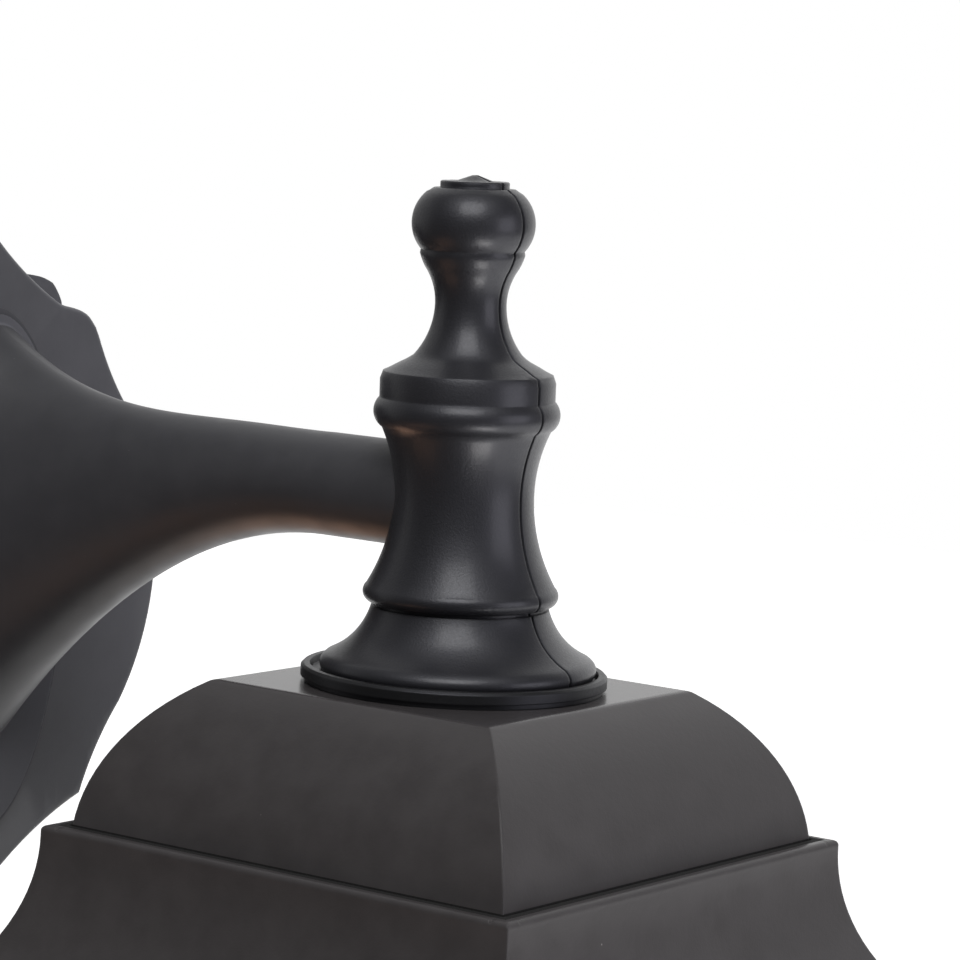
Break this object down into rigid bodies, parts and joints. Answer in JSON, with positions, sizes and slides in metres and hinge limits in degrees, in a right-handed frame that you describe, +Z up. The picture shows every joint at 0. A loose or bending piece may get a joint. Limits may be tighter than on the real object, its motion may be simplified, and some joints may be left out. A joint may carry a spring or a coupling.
{
  "type": "outdoor wall light",
  "caption": "Dark wall lantern: shaped wall plate, trumpet arm, turned column with ball finial, square domed roof over a tapered glazed cage.",
  "frame": {"origin": "middle of the wall plate on the wall, between the bracket's two wall slots", "axes": "+Z up along the wall, +Y into the wall, +X to the right of someone who faces the wall"},
  "size_m": [0.164, 0.244, 0.3683],
  "materials": {
    "plate_paint": "matte",
    "cast_paint": "matte",
    "column_plastic": "satin",
    "ring_plastic": "satin",
    "gasket_rubber": "matte",
    "zinc_steel": "satin",
    "dark_screw": "satin",
    "block_plastic": "satin",
    "holder_plastic": "gloss",
    "white_ceramic": "satin",
    "contact_brass": "satin",
    "opal_glass": "satin",
    "clear_glass": "gloss"
  },
  "bodies": {
    "root": {"wall_plate": "plate_paint", "wall_gasket": "gasket_rubber", "mounting_bracket": "zinc_steel", "side_screws": "zinc_steel", "terminal_block": "block_plastic", "terminal_screws": "zinc_steel", "arm": "cast_paint", "arm_screws": "zinc_steel", "column_left": "column_plastic", "column_right": "column_plastic", "column_ring": "ring_plastic", "roof": "cast_paint", "threaded_tube": "zinc_steel", "elbow_nut": "zinc_steel", "roof_washer": "zinc_steel", "roof_nut": "zinc_steel", "holder_cap": "holder_plastic", "holder_sleeve": "holder_plastic", "holder_core": "white_ceramic", "screw_shell": "contact_brass", "centre_contact": "contact_brass", "bulb": "opal_glass", "cage": "cast_paint", "cage_screws": "dark_screw", "pane_right": "clear_glass", "pane_back": "clear_glass", "pane_left": "clear_glass", "pane_front": "clear_glass", "bottom_tray": "cast_paint", "tray_screws": "dark_screw", "bottom_knob": "cast_paint", "knob_nut": "zinc_steel"}
  },
  "joints": []
}
